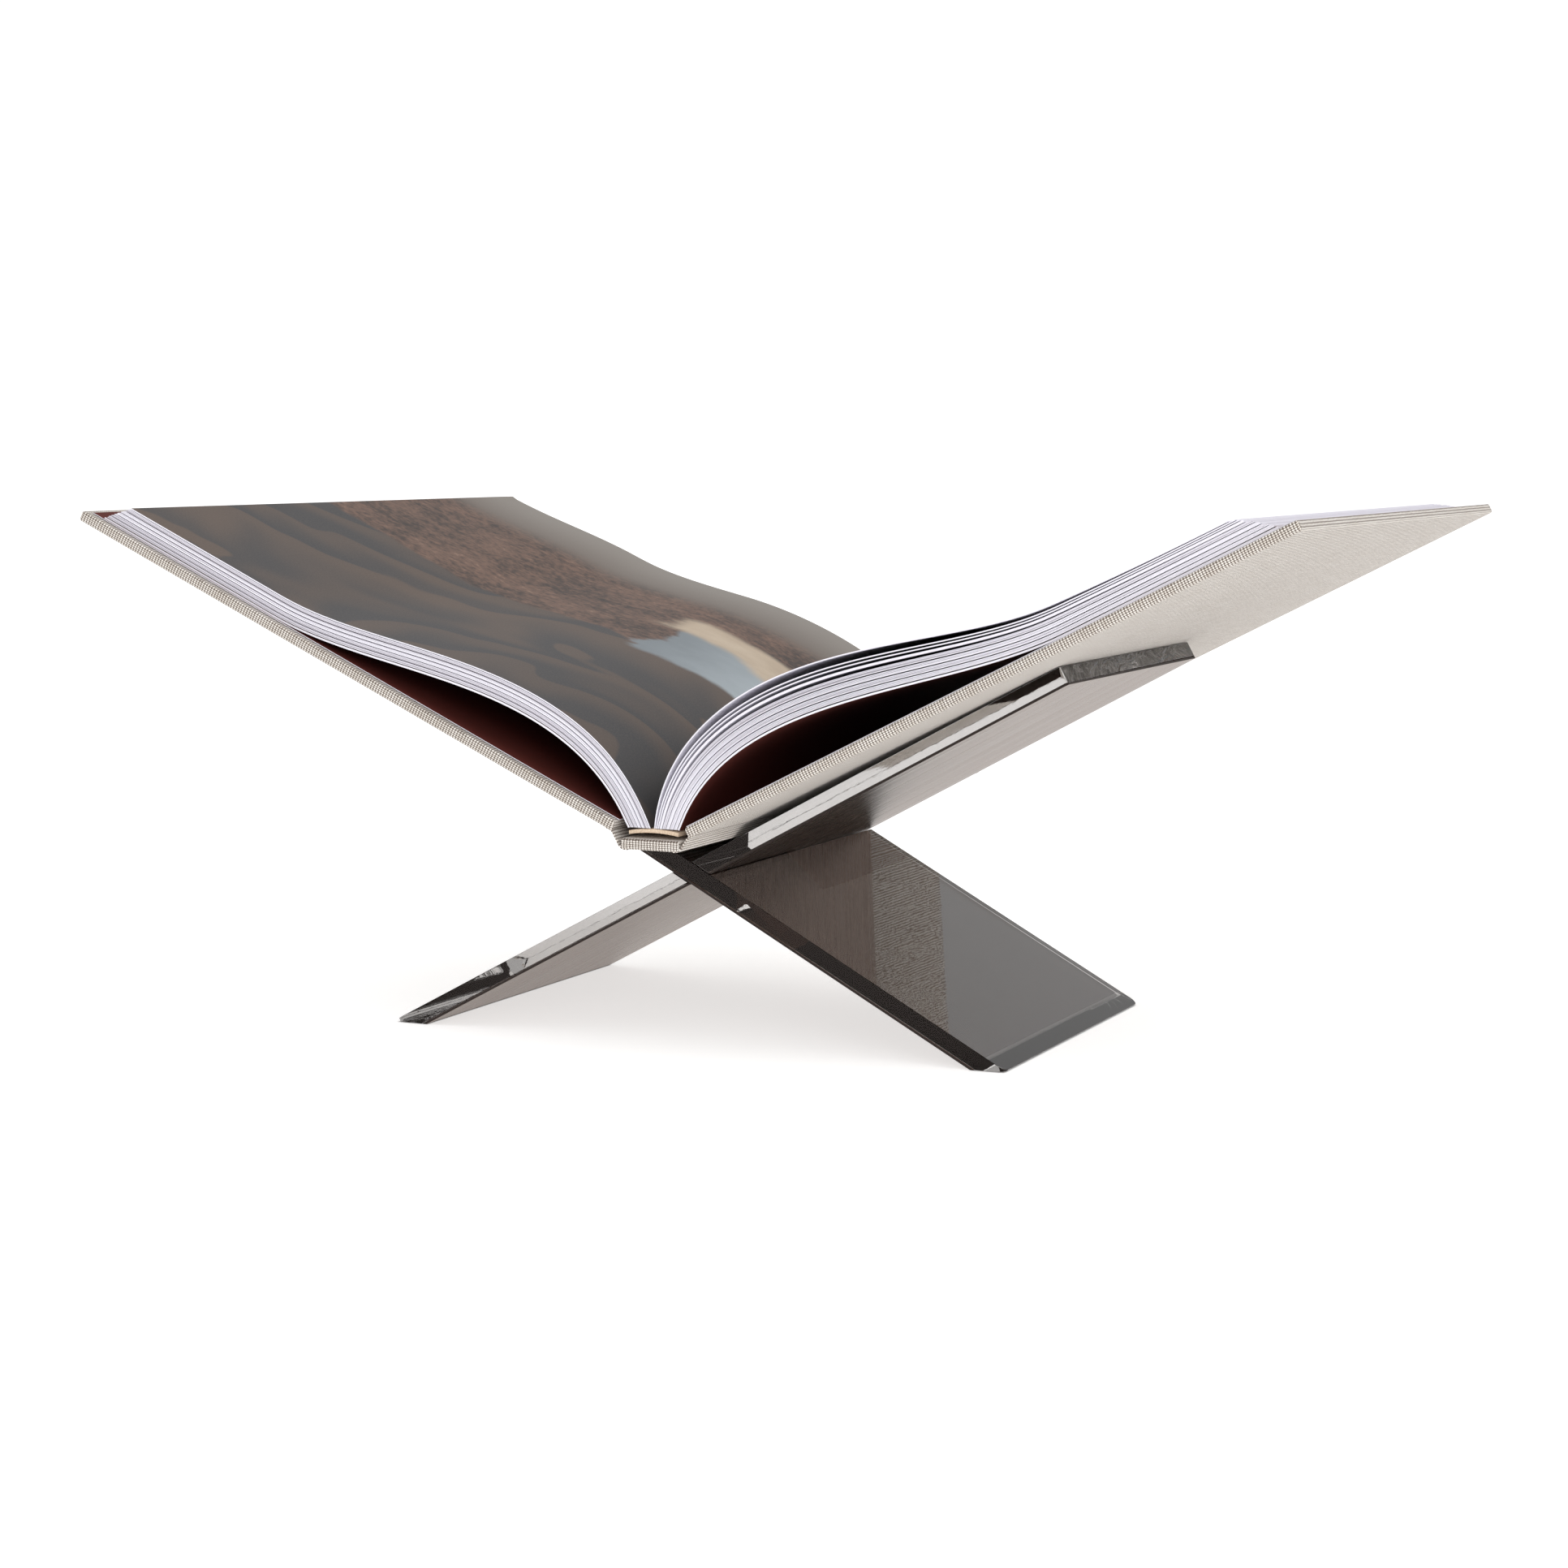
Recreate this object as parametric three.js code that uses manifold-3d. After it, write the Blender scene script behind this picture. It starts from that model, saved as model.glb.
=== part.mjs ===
// A book stand of two half-lapped acrylic panels that cross in an X, and the open cloth-bound
// album that lies in its V. Millimetres, +Z up, +Y towards the album's head, origin at the
// middle of the footprint of the whole assembly, on the surface that it stands on.
import * as THREE from 'three';
import { mergeVertices } from 'three/addons/utils/BufferGeometryUtils.js';
import Module from 'manifold-3d';

const wasm = await Module();
wasm.setup();

const degrees = THREE.MathUtils.degToRad;

// Clearances between pieces that touch on the real object.
const BOND_GAP = 0.3;
const SLOT_CLEARANCE = 0.3;
const REST_GAP = 0.3;
const PAPER_GAP = 0.3;

// Stand: each panel is clear acrylic on a thin metal backing sheet.
const PANEL_LEAN = degrees(28.9);
const PANEL_DEPTH = 168.6;
const ARM_LENGTH = 163.7;
const CROSSING_HEIGHT = 65.2;
const ACRYLIC_THICKNESS = 6.0;
const BACKING_THICKNESS = 0.9;
const TIP_BLUNT = 1.5;
const TIP_CORNER_RADIUS = 4;
const TOP_CORNER_RADIUS = 1.5;

// Album case: two boards and a spine strip, covered in one cloth.
const COVER_HEIGHT = 328;
const COVER_SHIFT = 31.5;
const BOARD_SETBACK = 1.6;
const BOARD_THICKNESS = 2.5;
const CLOTH_THICKNESS = 0.5;
const CASE_GAP = 0.25;
const TURN_IN = 15;
const JOINT_LENGTH = 4;
const SPINE_ALLOWANCE = 1.8;
const SPINE_HOLLOW = 1.95;
const PASTEDOWN_THICKNESS = 0.3;
const PASTEDOWN_SQUARE = 3;

// Text block: leaves stand on the spine, bend over and lie on the boards.
const LEAF_LENGTH = 250;
const LEAF_SQUARE = 3.5;
const LEAF_THICKNESS = 0.4;
const SECTION_THICKNESS = 1.2;
const GUTTER_GAP = 1.4;
const ROOT_BLEND = 30;
const CONTACT_LENGTH = 162;
const LINING_THICKNESS = 1.4;
const LINING_ARCH = 0.9;
const LEAF_HINGE = 22;

// A cover lies a little flatter than its panel, by sag, and its joint stands above or below the
// other's by cock. rise and reach are the pulls of the curve that a half's leaves follow from
// the spine to where they meet the cover.
const SIDES = {
  left: {
    name: 'left', mirror: -1, sections: 5, swell: 0, looseLeaves: [], topLeafAir: 0,
    sag: degrees(3.4), cock: 0.6, rootAngle: degrees(64), rise: 60, reach: 50,
  },
  right: {
    name: 'right', mirror: 1, sections: 4, swell: 0.6, topLeafAir: 2.4,
    looseLeaves: [{ thickness: 0.8, air: 1.0 }, { thickness: 0.4, air: 0.8 }, { thickness: 0.4, air: 0.6 }],
    sag: degrees(1.35), cock: -0.6, rootAngle: degrees(70), rise: 55, reach: 50,
  },
};

const PANEL_THICKNESS = ACRYLIC_THICKNESS + BOND_GAP + BACKING_THICKNESS;
const CASE_THICKNESS = 2 * CLOTH_THICKNESS + 2 * CASE_GAP + BOARD_THICKNESS;
const COVER_FACE = CASE_THICKNESS + CASE_GAP + PASTEDOWN_THICKNESS;
const BOARD_LENGTH = LEAF_LENGTH - BOARD_SETBACK;
const LEAF_HEIGHT = COVER_HEIGHT - 2 * LEAF_SQUARE;
const STRIP_TOP = CLOTH_THICKNESS + CASE_GAP + BOARD_THICKNESS;
const LINING_TOP = STRIP_TOP + SPINE_HOLLOW + LINING_ARCH + LINING_THICKNESS;
const ROOT_HEIGHT = LINING_TOP + PAPER_GAP;
const ROOT_HALF_WIDTH = (stackHeight(SIDES.left) + stackHeight(SIDES.right) + GUTTER_GAP) / 2;
const SPINE_WIDTH = 2 * (ROOT_HALF_WIDTH + SPINE_ALLOWANCE);
const CURVE_STEPS = 28;
const GUIDE_STEPS = 160;

const MATERIALS = {
  acrylic: new THREE.MeshStandardMaterial({ color: 0xb9b5b0, roughness: 0.05, metalness: 0 }),
  backing: new THREE.MeshStandardMaterial({ color: 0x7a6e66, roughness: 0.35, metalness: 1 }),
  board: new THREE.MeshStandardMaterial({ color: 0x8f8d88, roughness: 0.95, metalness: 0 }),
  cloth: new THREE.MeshStandardMaterial({ color: 0xc3b8ab, roughness: 0.9, metalness: 0 }),
  endpaper: new THREE.MeshStandardMaterial({ color: 0x40191a, roughness: 0.8, metalness: 0 }),
  paper: new THREE.MeshStandardMaterial({ color: 0xe4e2e9, roughness: 0.85, metalness: 0 }),
  print: new THREE.MeshStandardMaterial({ color: 0x5a4a40, roughness: 0.5, metalness: 0 }),
  lining: new THREE.MeshStandardMaterial({ color: 0xc9ae96, roughness: 0.9, metalness: 0 }),
};

function namedMesh(name, geometry, material) {
  const mesh = new THREE.Mesh(geometry, material.clone());
  mesh.name = name;
  return mesh;
}

// An outline in the X-Z plane, extruded along Y and centred on y = 0.
function prismAlongY(outline, depth) {
  const shape = new THREE.Shape(outline);
  const geometry = new THREE.ExtrudeGeometry(shape, { depth, bevelEnabled: false, curveSegments: 8 });
  geometry.rotateX(Math.PI / 2);
  return geometry.translate(0, depth / 2, 0);
}

function boxBetween(low, high) {
  const size = high.clone().sub(low);
  const middle = high.clone().add(low).multiplyScalar(0.5);
  return new THREE.BoxGeometry(size.x, size.y, size.z).translate(middle.x, middle.y, middle.z);
}

function toSolid(geometry) {
  const bare = geometry.clone();
  bare.deleteAttribute('normal');
  bare.deleteAttribute('uv');
  const merged = mergeVertices(bare, 1e-4);
  return new wasm.Manifold(new wasm.Mesh({
    numProp: 3,
    vertProperties: new Float32Array(merged.attributes.position.array),
    triVerts: new Uint32Array(merged.index.array),
  }));
}

function toGeometry(solid) {
  const mesh = solid.getMesh();
  const geometry = new THREE.BufferGeometry();
  geometry.setAttribute('position', new THREE.BufferAttribute(mesh.vertProperties, 3));
  geometry.setIndex(new THREE.BufferAttribute(mesh.triVerts, 1));
  return geometry;
}

// ---- Stand ----------------------------------------------------------------------------------
// A panel is drawn in its own frame: X up along the panel from the crossing, Y along its depth
// and Z out of its upper face, with z = 0 in the middle of its thickness.

function floorReach(height) {
  return -(CROSSING_HEIGHT + height * Math.cos(PANEL_LEAN)) / Math.sin(PANEL_LEAN);
}

function layerProfile(low, high, blunt) {
  const tip = floorReach(high) + blunt;
  const outline = [
    new THREE.Vector2(floorReach(low), low),
    new THREE.Vector2(ARM_LENGTH, low),
    new THREE.Vector2(ARM_LENGTH, high),
    new THREE.Vector2(tip, high),
  ];
  if (blunt > 0) outline.push(new THREE.Vector2(tip, high - blunt * Math.tan(PANEL_LEAN)));
  return prismAlongY(outline, PANEL_DEPTH);
}

function panelPlan() {
  const half = PANEL_DEPTH / 2;
  const tip = floorReach(PANEL_THICKNESS / 2) + TIP_BLUNT;
  const shape = new THREE.Shape();
  shape.moveTo(tip + TIP_CORNER_RADIUS, -half);
  shape.lineTo(ARM_LENGTH - TOP_CORNER_RADIUS, -half);
  shape.absarc(ARM_LENGTH - TOP_CORNER_RADIUS, TOP_CORNER_RADIUS - half, TOP_CORNER_RADIUS, -Math.PI / 2, 0);
  shape.absarc(ARM_LENGTH - TOP_CORNER_RADIUS, half - TOP_CORNER_RADIUS, TOP_CORNER_RADIUS, 0, Math.PI / 2);
  shape.lineTo(tip + TIP_CORNER_RADIUS, half);
  shape.absarc(tip + TIP_CORNER_RADIUS, half - TIP_CORNER_RADIUS, TIP_CORNER_RADIUS, Math.PI / 2, Math.PI);
  shape.absarc(tip + TIP_CORNER_RADIUS, TIP_CORNER_RADIUS - half, TIP_CORNER_RADIUS, Math.PI, 1.5 * Math.PI);
  const depth = 2 * PANEL_THICKNESS;
  const geometry = new THREE.ExtrudeGeometry(shape, { depth, bevelEnabled: false, curveSegments: 6 });
  return geometry.translate(0, 0, -PANEL_THICKNESS);
}

// The half of the other panel that this one lets through, grown by the slot's clearance.
function slotCutter() {
  const length = 4 * PANEL_THICKNESS;
  const depth = PANEL_DEPTH / 2 + SLOT_CLEARANCE / 2 + 1;
  const cutter = new THREE.BoxGeometry(length, depth, PANEL_THICKNESS + 2 * SLOT_CLEARANCE);
  cutter.rotateY(2 * PANEL_LEAN);
  return cutter.translate(0, SLOT_CLEARANCE / 2 - depth / 2, 0);
}

function panelLayer(low, high, blunt) {
  const plate = toSolid(layerProfile(low, high, blunt)).intersect(toSolid(panelPlan()));
  return toGeometry(plate.subtract(toSolid(slotCutter())));
}

function standPanel(name, turn) {
  const bottom = -PANEL_THICKNESS / 2;
  const bond = bottom + BACKING_THICKNESS;
  const backing = panelLayer(bottom, bond, 0);
  const acrylic = panelLayer(bond + BOND_GAP, PANEL_THICKNESS / 2, TIP_BLUNT);
  const leaning = new THREE.Group();
  leaning.rotation.y = -PANEL_LEAN;
  leaning.add(namedMesh(`${name}_acrylic`, acrylic, MATERIALS.acrylic));
  leaning.add(namedMesh(`${name}_backing`, backing, MATERIALS.backing));
  const turned = new THREE.Group();
  turned.rotation.z = turn;
  turned.position.z = CROSSING_HEIGHT;
  turned.add(leaning);
  return turned;
}

// ---- Album case -----------------------------------------------------------------------------
// A cover is drawn in its own frame: X out along its outer face from the spine joint, and Z
// from the outer face to the inner one. The left cover is the right one turned half round.

function coverCloth() {
  const half = COVER_HEIGHT / 2;
  const end = JOINT_LENGTH + BOARD_LENGTH;
  const wrap = CLOTH_THICKNESS;
  const whole = boxBetween(new THREE.Vector3(JOINT_LENGTH, -half, 0), new THREE.Vector3(end, half, CASE_THICKNESS));
  const pocket = boxBetween(
    new THREE.Vector3(JOINT_LENGTH - 1, wrap - half, wrap),
    new THREE.Vector3(end - wrap, half - wrap, CASE_THICKNESS - wrap));
  const window = boxBetween(
    new THREE.Vector3(JOINT_LENGTH - 1, TURN_IN - half, CASE_THICKNESS - 2 * wrap),
    new THREE.Vector3(end - TURN_IN, half - TURN_IN, CASE_THICKNESS + 1));
  return toGeometry(toSolid(whole).subtract(toSolid(pocket)).subtract(toSolid(window)));
}

function coverBoard() {
  const inset = CLOTH_THICKNESS + CASE_GAP;
  const half = COVER_HEIGHT / 2 - inset;
  return boxBetween(
    new THREE.Vector3(JOINT_LENGTH, -half, inset),
    new THREE.Vector3(JOINT_LENGTH + BOARD_LENGTH - inset, half, inset + BOARD_THICKNESS));
}

function pastedown() {
  const half = COVER_HEIGHT / 2 - PASTEDOWN_SQUARE;
  return boxBetween(
    new THREE.Vector3(JOINT_LENGTH, -half, COVER_FACE - PASTEDOWN_THICKNESS),
    new THREE.Vector3(JOINT_LENGTH + BOARD_LENGTH - PASTEDOWN_SQUARE, half, COVER_FACE));
}

function coverAngle(side) {
  return PANEL_LEAN - side.sag;
}

function jointStart(side) {
  return new THREE.Vector2(side.mirror * SPINE_WIDTH / 2, CASE_THICKNESS + side.cock);
}

function cover(side) {
  const leaning = new THREE.Group();
  leaning.rotation.y = -coverAngle(side);
  leaning.add(namedMesh(`${side.name}_cover_cloth`, coverCloth(), MATERIALS.cloth));
  leaning.add(namedMesh(`${side.name}_cover_board`, coverBoard(), MATERIALS.board));
  leaning.add(namedMesh(`${side.name}_pastedown`, pastedown(), MATERIALS.endpaper));
  const start = jointStart(side);
  const turned = new THREE.Group();
  turned.rotation.z = side.mirror > 0 ? 0 : Math.PI;
  turned.position.set(start.x, 0, start.y);
  turned.add(leaning);
  return turned;
}

// The cloth under the spine strip runs up both joints and stops short of the covers' cloth.
function spineCloth() {
  const half = SPINE_WIDTH / 2;
  const outer = [];
  const inner = [];
  for (const side of [SIDES.left, SIDES.right]) {
    const along = new THREE.Vector2(side.mirror * Math.cos(coverAngle(side)), Math.sin(coverAngle(side)));
    const inward = new THREE.Vector2(-side.mirror * Math.sin(coverAngle(side)), Math.cos(coverAngle(side)));
    const end = jointStart(side).addScaledVector(along, JOINT_LENGTH - REST_GAP);
    const rim = end.clone().addScaledVector(inward, CLOTH_THICKNESS);
    const corner = new THREE.Vector2(side.mirror * half, 0);
    const heel = new THREE.Vector2(side.mirror * (half - CLOTH_THICKNESS / 2), CLOTH_THICKNESS);
    if (side.mirror < 0) {
      outer.push(end, corner);
      inner.push(rim, heel);
    } else {
      outer.push(corner, end);
      inner.push(heel, rim);
    }
  }
  return prismAlongY([...outer, ...inner.reverse()], COVER_HEIGHT);
}

function spineStrip() {
  const half = SPINE_WIDTH / 2 - CLOTH_THICKNESS - CASE_GAP;
  const low = CLOTH_THICKNESS + CASE_GAP;
  const reach = COVER_HEIGHT / 2 - low;
  return boxBetween(new THREE.Vector3(-half, -reach, low), new THREE.Vector3(half, reach, low + BOARD_THICKNESS));
}

function spineLining() {
  const outline = [];
  for (const edge of [LINING_TOP, LINING_TOP - LINING_THICKNESS]) {
    const stretch = [];
    for (let step = -4; step <= 4; step++) {
      const across = step / 4;
      stretch.push(new THREE.Vector2(across * ROOT_HALF_WIDTH, edge - LINING_ARCH * across * across));
    }
    outline.push(...(edge === LINING_TOP ? stretch : stretch.reverse()));
  }
  return prismAlongY(outline, LEAF_HEIGHT);
}

// ---- Text block -----------------------------------------------------------------------------
// Every leaf follows one guide, the underside of its half of the block, at its own distance.

function guideCurve(side) {
  const along = new THREE.Vector2(Math.cos(coverAngle(side)), Math.sin(coverAngle(side)));
  const inward = new THREE.Vector2(-along.y, along.x);
  const root = new THREE.Vector2(ROOT_HALF_WIDTH, ROOT_HEIGHT);
  const rootHandle = new THREE.Vector2(Math.cos(side.rootAngle), Math.sin(side.rootAngle));
  rootHandle.multiplyScalar(side.rise).add(root);
  const contact = new THREE.Vector2(SPINE_WIDTH / 2, CASE_THICKNESS + side.cock)
    .addScaledVector(along, CONTACT_LENGTH)
    .addScaledVector(inward, COVER_FACE + PAPER_GAP);
  const contactHandle = contact.clone().addScaledVector(along, -side.reach);
  const path = new THREE.CurvePath();
  path.add(new THREE.CubicBezierCurve(root, rootHandle, contactHandle, contact));
  path.add(new THREE.LineCurve(contact, contact.clone().addScaledVector(along, LEAF_LENGTH - CONTACT_LENGTH)));
  return path;
}

// How far the air between the leaves opens at one place along them: shut at both ends and
// widest a quarter of the way out.
function fan(place) {
  return place * (1 - place) ** 3 * 256 / 27;
}

// Turns from level at the root to square to the leaf, so that all leaves start on one level.
function stackingAngle(tangentAngle, distance) {
  const blend = Math.min(1, distance / ROOT_BLEND);
  return Math.PI + (tangentAngle + Math.PI / 2 - Math.PI) * blend;
}

function leafLine(side, base, air) {
  const guide = guideCurve(side);
  const length = guide.getLength();
  const points = [];
  for (let step = 0; step <= GUIDE_STEPS; step++) {
    const place = step / GUIDE_STEPS;
    const tangent = guide.getTangentAt(place);
    const angle = stackingAngle(Math.atan2(tangent.y, tangent.x), place * length);
    const offset = base + air * fan(place);
    const point = guide.getPointAt(place);
    points.push(new THREE.Vector2(point.x + offset * Math.cos(angle), point.y + offset * Math.sin(angle)));
  }
  return new THREE.SplineCurve(points);
}

function stretchOfLine(line, start, end) {
  const length = line.getLength();
  const points = [];
  for (let step = 0; step <= CURVE_STEPS; step++) {
    const distance = start + (end - start) * step / CURVE_STEPS;
    points.push(line.getPointAt(Math.min(1, distance / length)));
  }
  return points;
}

// A slab of paper between two distances from the guide, from start to end along the leaf.
function paperSlab(side, layer, start = 0, end = LEAF_LENGTH) {
  const under = stretchOfLine(leafLine(side, layer.base, layer.air), start, end);
  const upper = stretchOfLine(leafLine(side, layer.base + layer.thickness, layer.air + layer.swell), start, end);
  const outline = [...under, ...upper.reverse()];
  for (const point of outline) point.x *= side.mirror;
  return prismAlongY(outline, LEAF_HEIGHT);
}

// How thick one half of the block is at the spine, with every gap between its layers.
function stackHeight(side) {
  const loose = side.looseLeaves.reduce((sum, leaf) => sum + leaf.thickness + PAPER_GAP, 0);
  const sections = side.sections * (SECTION_THICKNESS + PAPER_GAP);
  return LEAF_THICKNESS + PAPER_GAP + sections + loose + LEAF_THICKNESS;
}

// Stacks the layers of one half from the board up, and says where each one lies.
function stackLayers(side) {
  const layers = [];
  let base = 0;
  let air = 0;
  const lay = (name, thickness, swell, airBelow, material) => {
    air += airBelow;
    layers.push({ name: `${side.name}_${name}`, base, air, thickness, swell, material });
    base += thickness + PAPER_GAP;
    air += swell;
  };
  lay('flyleaf', LEAF_THICKNESS, 0, 0, MATERIALS.endpaper);
  for (let number = 1; number <= side.sections; number++) {
    lay(`section_${number}`, SECTION_THICKNESS, side.swell, 0, MATERIALS.paper);
  }
  side.looseLeaves.forEach((leaf, index) => {
    lay(`loose_leaf_${index + 1}`, leaf.thickness, 0, leaf.air, MATERIALS.paper);
  });
  const topMaterial = side === SIDES.left ? MATERIALS.print : MATERIALS.paper;
  lay('top_leaf', LEAF_THICKNESS, 0, side.topLeafAir, topMaterial);
  return layers;
}

function halfBlock(side) {
  const half = new THREE.Group();
  const layers = stackLayers(side);
  const topLeaf = layers.pop();
  for (const layer of layers) half.add(namedMesh(layer.name, paperSlab(side, layer), layer.material));
  const guardEnd = LEAF_HINGE - PAPER_GAP / 2;
  const leafStart = LEAF_HINGE + PAPER_GAP / 2;
  const guard = paperSlab(side, topLeaf, 0, guardEnd);
  half.add(namedMesh(`${topLeaf.name}_guard`, guard, topLeaf.material));
  half.add(namedMesh(topLeaf.name, paperSlab(side, topLeaf, leafStart), topLeaf.material));
  const line = leafLine(side, topLeaf.base + topLeaf.thickness / 2, topLeaf.air);
  const hinge = line.getPointAt(LEAF_HINGE / line.getLength());
  half.userData.leafHinge = new THREE.Vector3(side.mirror * hinge.x, 0, hinge.y);
  return half;
}

// ---- Where the album lies -------------------------------------------------------------------
// Each cover's outer face rests on the top edge of one panel. The two lines fix the place of
// the spine: along each cover's normal, the panel's edge is REST_GAP below the outer face.

function albumPlace() {
  const half = PANEL_THICKNESS / 2;
  const edge = new THREE.Vector2(
    ARM_LENGTH * Math.cos(PANEL_LEAN) - half * Math.sin(PANEL_LEAN),
    CROSSING_HEIGHT + ARM_LENGTH * Math.sin(PANEL_LEAN) + half * Math.cos(PANEL_LEAN));
  const rows = [SIDES.right, SIDES.left].map((side) => {
    const normal = new THREE.Vector2(-side.mirror * Math.sin(coverAngle(side)), Math.cos(coverAngle(side)));
    const panelEdge = new THREE.Vector2(side.mirror * edge.x, edge.y);
    return { normal, reach: normal.dot(panelEdge.sub(jointStart(side))) + REST_GAP };
  });
  const [first, second] = rows;
  const scale = first.normal.cross(second.normal);
  const across = (first.reach * second.normal.y - second.reach * first.normal.y) / scale;
  const up = (second.reach * first.normal.x - first.reach * second.normal.x) / scale;
  return new THREE.Vector3(across, COVER_SHIFT, up);
}

function buildAlbum() {
  const album = new THREE.Group();
  album.add(namedMesh('spine_cloth', spineCloth(), MATERIALS.cloth));
  album.add(namedMesh('spine_strip', spineStrip(), MATERIALS.board));
  album.add(namedMesh('spine_lining', spineLining(), MATERIALS.lining));
  for (const side of [SIDES.left, SIDES.right]) {
    album.add(cover(side));
    const block = halfBlock(side);
    album.add(block);
    album.userData[`${side.name}LeafHinge`] = block.userData.leafHinge;
  }
  album.position.copy(albumPlace());
  return album;
}

function buildAssembly() {
  const assembly = new THREE.Group();
  assembly.add(standPanel('panel_a', Math.PI));
  assembly.add(standPanel('panel_b', 0));
  const album = buildAlbum();
  assembly.add(album);
  const box = new THREE.Box3().setFromObject(assembly, true);
  const middle = box.getCenter(new THREE.Vector3());
  assembly.position.set(-middle.x, -middle.y, -box.min.z);
  return assembly;
}

export default buildAssembly();
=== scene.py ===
"""Looks of an open picture album that rests on a stand of two crossed, slotted acrylic panels."""

import math
import random

import bmesh
import bpy
from mathutils import Matrix, Vector, noise


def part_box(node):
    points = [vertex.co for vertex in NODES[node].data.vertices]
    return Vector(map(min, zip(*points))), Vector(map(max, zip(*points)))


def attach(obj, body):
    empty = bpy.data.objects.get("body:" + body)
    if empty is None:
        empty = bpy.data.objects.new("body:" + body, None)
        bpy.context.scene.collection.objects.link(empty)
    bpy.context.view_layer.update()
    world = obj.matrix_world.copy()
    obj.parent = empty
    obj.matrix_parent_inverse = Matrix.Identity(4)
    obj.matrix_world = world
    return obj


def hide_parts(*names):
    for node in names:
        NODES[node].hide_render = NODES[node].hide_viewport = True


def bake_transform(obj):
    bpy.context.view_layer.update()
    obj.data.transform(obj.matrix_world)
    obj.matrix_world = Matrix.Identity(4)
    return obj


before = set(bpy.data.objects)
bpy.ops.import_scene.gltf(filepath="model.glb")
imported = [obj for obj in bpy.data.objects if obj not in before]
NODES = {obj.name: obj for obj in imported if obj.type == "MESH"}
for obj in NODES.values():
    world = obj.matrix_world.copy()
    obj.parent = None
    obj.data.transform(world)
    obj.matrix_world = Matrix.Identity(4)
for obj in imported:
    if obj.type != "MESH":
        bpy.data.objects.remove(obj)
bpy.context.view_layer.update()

MM = 0.001

# The stand
PANEL_LEAN = math.radians(28.9)
PANEL_UP = {
    "a": Vector((math.sin(PANEL_LEAN), 0, math.cos(PANEL_LEAN))),
    "b": Vector((-math.sin(PANEL_LEAN), 0, math.cos(PANEL_LEAN))),
}
BOND_DEPTH = 0.35 * MM  # how far the plate sinks into its backing, so that no air shows between them
FOOT_DEPTH = 14 * MM
SLOT_REACH = 30 * MM
ACRYLIC_BEVEL = 0.15 * MM
BACKING_BEVEL = 0.12 * MM
PLATE_WAVE = 0.02 * MM
END_WAVE = 1.2 * MM

# The album
COVER_ROUNDING = 0.9 * MM
SPINE_CLOTH_MARGIN = 0.75 * MM
JOINT_CLOTH = 0.7 * MM
JOINT_GROOVE = 0.3 * MM
JOINT_SHORT = 0.3 * MM
JOINT_STEPS = 24
THREAD_PITCH = (1.15 * MM, 0.74 * MM)
LEAF_STEPS = 72
LEAVES_IN_SECTION = 4
LEAF_SHARE = 0.8
PAGE_LIFT = 4.5 * MM
PAGE_CORNER = 7 * MM
PAGE_ROWS = 40
SIDES = {"left": -1, "right": 1}
SECTIONS = {"left": 5, "right": 4}
LOOSE_LEAVES = {"left": 0, "right": 3}
FLYLEAF_SHARE = 1.6

# The studio
VIEW_PLACE = (0.51791, -1.30811, 0.23183)
VIEW_AZIMUTH = math.radians(22.081)
VIEW_ELEVATION = math.radians(5.831)
VIEW_ROLL = math.radians(0.7135)
VIEW_LENS = 80.894
FLOOR_DROP = 0.2 * MM
ROOM_GLOW = 0.62
BACKDROP_WHITE = 1.05

chance = random.Random(11)


# ---------------------------------------------------------------- shader maths


class Value:
    """A node's output that takes part in arithmetic."""

    def __init__(self, shader, socket):
        self.shader = shader
        self.socket = socket

    def work(self, operation, *values):
        inputs = dict(enumerate(values))
        return self.shader.node("ShaderNodeMath", {"operation": operation}, inputs)

    def __add__(self, other):
        return self.work("ADD", self, other)

    def __radd__(self, other):
        return self.work("ADD", other, self)

    def __sub__(self, other):
        return self.work("SUBTRACT", self, other)

    def __rsub__(self, other):
        return self.work("SUBTRACT", other, self)

    def __mul__(self, other):
        return self.work("MULTIPLY", self, other)

    def __rmul__(self, other):
        return self.work("MULTIPLY", other, self)

    def __truediv__(self, other):
        return self.work("DIVIDE", self, other)

    def floor(self):
        return self.work("FLOOR", self)

    def fraction(self):
        return self.work("FRACT", self)

    def sine(self):
        return self.work("SINE", self)

    def cosine(self):
        return self.work("COSINE", self)

    def larger(self, other):
        return self.work("MAXIMUM", self, other)

    def rise(self, start, end):
        """0 before start and 1 after end, with a soft step between them."""
        inputs = {"Value": self, "From Min": start, "From Max": end}
        return self.shader.node("ShaderNodeMapRange", {"interpolation_type": "SMOOTHSTEP"}, inputs)


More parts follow.
